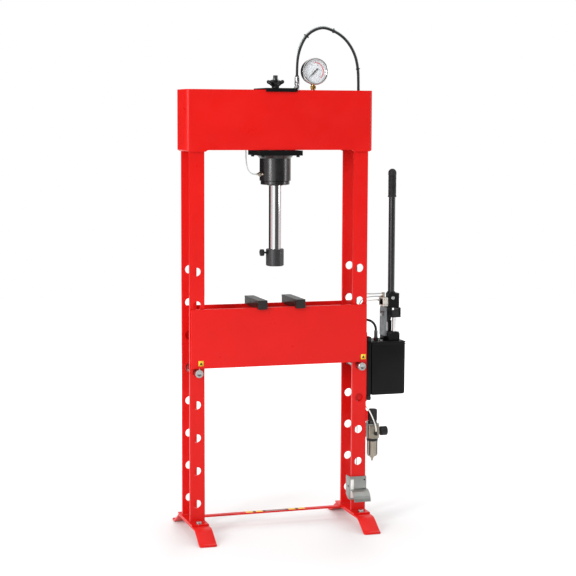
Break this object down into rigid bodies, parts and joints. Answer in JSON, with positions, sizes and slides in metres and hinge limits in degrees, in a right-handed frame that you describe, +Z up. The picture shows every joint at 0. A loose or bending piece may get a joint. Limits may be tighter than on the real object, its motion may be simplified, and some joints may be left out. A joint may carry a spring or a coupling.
{
  "type": "hydraulic shop press",
  "caption": "Floor-standing H-frame hydraulic shop press with sliding cylinder, pressure gauge, pinned bed, air and hand pump and foot pedal.",
  "frame": {"origin": "on the floor, midway between the two columns and midway between their front and rear bars, on the axis of the ram", "axes": "+Z up along the ram, +X to the right towards the pump, -Y towards the operator"},
  "size_m": [0.929, 0.475, 2.0269],
  "materials": {
    "red_paint": "gloss red stove enamel",
    "zinc_steel": "bright zinc plated steel",
    "black_paint": "satin black paint",
    "black_plastic": "moulded black plastic",
    "chrome": "hard chrome, polished",
    "brass": "machined brass",
    "white_dial": "printed white dial",
    "glass": "clear window",
    "black_rubber": "matt black rubber",
    "clear_tube": "clear pneumatic tube",
    "white_tube": "white pneumatic tube",
    "grey_metal": "die cast grey alloy",
    "smoky_plastic": "smoked polycarbonate"
  },
  "bodies": {
    "frame": {"beam_front_plate": "red_paint", "beam_rear_plate": "red_paint", "left_front_post": "red_paint", "left_rear_post": "red_paint", "right_front_post": "red_paint", "right_rear_post": "red_paint", "left_base_plate": "red_paint", "right_base_plate": "red_paint", "left_foot": "red_paint", "right_foot": "red_paint", "foot_bolts": "zinc_steel", "cross_strip": "red_paint", "pressure_hose": "black_rubber", "return_tube": "clear_tube", "hose_ties": "black_plastic", "pump_bracket": "red_paint", "bracket_bolts": "black_paint", "pump_reservoir": "black_paint", "pump_base": "black_paint", "pump_side_plate": "grey_metal", "pivot_bolt": "zinc_steel", "pump_fittings": "zinc_steel", "valve_box": "grey_metal", "pilot_tube": "clear_tube", "regulator_bracket": "grey_metal", "regulator_body": "grey_metal", "regulator_bowl": "smoky_plastic", "supply_tube": "white_tube", "foot_valve": "grey_metal"},
    "carriage": {"cylinder_body": "black_paint", "mount_flange": "black_paint", "cylinder_gland": "black_paint", "saddle_plate": "black_paint", "clamp_stud": "zinc_steel", "manifold": "zinc_steel", "hose_fitting": "zinc_steel", "air_fitting": "brass", "gauge_stem": "brass", "gauge_case": "chrome", "gauge_bezel": "chrome", "gauge_dial": "white_dial", "gauge_glass": "glass"},
    "ram": {"ram_rod": "chrome", "ram_nose": "black_paint"},
    "thumb_screw": {"nose_screw": "black_paint"},
    "top_knob": {"clamp_knob": "black_plastic"},
    "pointer": {"gauge_needle": "black_plastic"},
    "bed": {"bed_front_plate": "red_paint", "bed_rear_plate": "red_paint", "bed_spacers": "red_paint"},
    "pin_left": {"left_pin": "zinc_steel"},
    "pin_right": {"right_pin": "zinc_steel"},
    "block_left": {"left_press_block": "black_paint"},
    "block_right": {"right_press_block": "black_paint"},
    "lever": {"handle_socket": "black_paint", "handle_tube": "black_paint", "handle_grip": "black_rubber"},
    "plunger": {"pump_plunger": "chrome"},
    "pedal": {"foot_pedal": "grey_metal"},
    "regulator_cap": {"regulator_knob": "black_plastic"}
  },
  "joints": [
    {"name": "carriage_slide", "type": "slide", "parent": "frame", "child": "carriage", "axis": [1, 0, 0], "range_m": [-0.03, 0.03], "deforming": ["pressure_hose", "return_tube", "hose_ties"]},
    {"name": "ram_slide", "type": "slide", "parent": "carriage", "child": "ram", "axis": [0, 0, 1], "range_m": [0, 0.245]},
    {"name": "nose_screw_turn", "type": "hinge", "parent": "ram", "child": "thumb_screw", "pos_m": [-0.054, 0, 1.123], "axis": [1, 0, 0], "continuous": true},
    {"name": "clamp_knob_turn", "type": "hinge", "parent": "carriage", "child": "top_knob", "pos_m": [0, 0, 1.79], "axis": [0, 0, 1], "continuous": true},
    {"name": "gauge_needle_turn", "type": "hinge", "parent": "carriage", "child": "pointer", "pos_m": [0.158, -0.026, 1.845], "axis": [0, 1, 0], "range_deg": [0, 270]},
    {"name": "bed_lift", "type": "slide", "parent": "frame", "child": "bed", "axis": [0, 0, 1], "range_m": [0, 0.12]},
    {"name": "left_pin_pull", "type": "slide", "parent": "frame", "child": "pin_left", "axis": [0, -1, 0], "range_m": [0, 0.2]},
    {"name": "right_pin_pull", "type": "slide", "parent": "frame", "child": "pin_right", "axis": [0, -1, 0], "range_m": [0, 0.2]},
    {"name": "left_block_slide", "type": "slide", "parent": "bed", "child": "block_left", "axis": [1, 0, 0], "range_m": [-0.17, 0.05]},
    {"name": "right_block_slide", "type": "slide", "parent": "bed", "child": "block_right", "axis": [1, 0, 0], "range_m": [-0.05, 0.17]},
    {"name": "lever_swing", "type": "hinge", "parent": "frame", "child": "lever", "pos_m": [0.502, 0.014, 0.859], "axis": [1, 0, 0], "range_deg": [-30, 15]},
    {"name": "plunger_stroke", "type": "slide", "parent": "frame", "child": "plunger", "axis": [0, 0, 1], "range_m": [-0.0096, 0.019]},
    {"name": "pedal_press", "type": "hinge", "parent": "frame", "child": "pedal", "pos_m": [0.34, -0.08, 0.14], "axis": [1, 0, 0], "range_deg": [0, 15], "stiffness_Nm_per_rad": 2, "springref_deg": -20.05},
    {"name": "regulator_knob_turn", "type": "hinge", "parent": "frame", "child": "regulator_cap", "pos_m": [0.406, -0.05, 0.44], "axis": [0, 0, 1], "range_deg": [-180, 180]}
  ],
  "couplings": [
    {"joint": "plunger_stroke", "follows": "lever_swing", "m_per_rad": -0.036}
  ]
}
